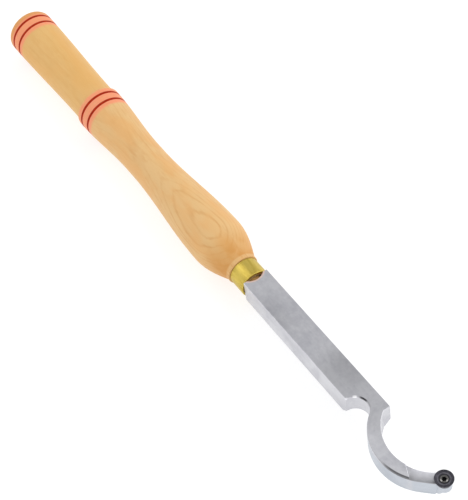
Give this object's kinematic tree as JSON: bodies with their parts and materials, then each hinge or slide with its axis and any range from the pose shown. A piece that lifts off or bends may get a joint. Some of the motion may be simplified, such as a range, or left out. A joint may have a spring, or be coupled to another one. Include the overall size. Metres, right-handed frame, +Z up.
{
  "type": "hollowing tool",
  "caption": "Wood-turning hollowing tool: turned wooden handle with brass ferrule, square steel bar cut to a hook at its end, and a small round cutter held by a screw.",
  "frame": {"origin": "under the middle of the tool's overall box, level with the lowest point of the handle's bulb", "axes": "+X along the tool from the butt to the cutter, +Z up out of the bar's top face and the cutter's top, +Y towards the side the hook opens to"},
  "size_m": [0.438, 0.0334, 0.0334],
  "materials": {
    "wood": "pale golden close-grained hardwood, clear satin varnish",
    "red_lacquer": "dark red lacquer run into turned grooves",
    "brass": "polished brass tube",
    "glue": "cured epoxy, hidden in the bore",
    "steel": "finely ground bare steel",
    "carbide": "dark grey sintered carbide with a ground rim",
    "screw_steel": "turned screw steel"
  },
  "bodies": {
    "tool": {"handle": "wood", "red_ring_butt_rear": "red_lacquer", "red_ring_butt_front": "red_lacquer", "red_ring_step_rear": "red_lacquer", "red_ring_step_front": "red_lacquer", "ferrule": "brass", "tang_glue": "glue", "tool_bar": "steel"},
    "cutter": {"cutter": "carbide"},
    "screw": {"cutter_screw": "screw_steel"}
  },
  "joints": [
    {"name": "cutter_turn", "type": "hinge", "parent": "tool", "child": "cutter", "pos_m": [0.21374, 0.00304, 0.025], "axis": [0, 0, 1], "continuous": true},
    {"name": "screw_turn", "type": "hinge", "parent": "tool", "child": "screw", "pos_m": [0.21374, 0.00304, 0.025], "axis": [0, 0, 1], "continuous": true}
  ]
}
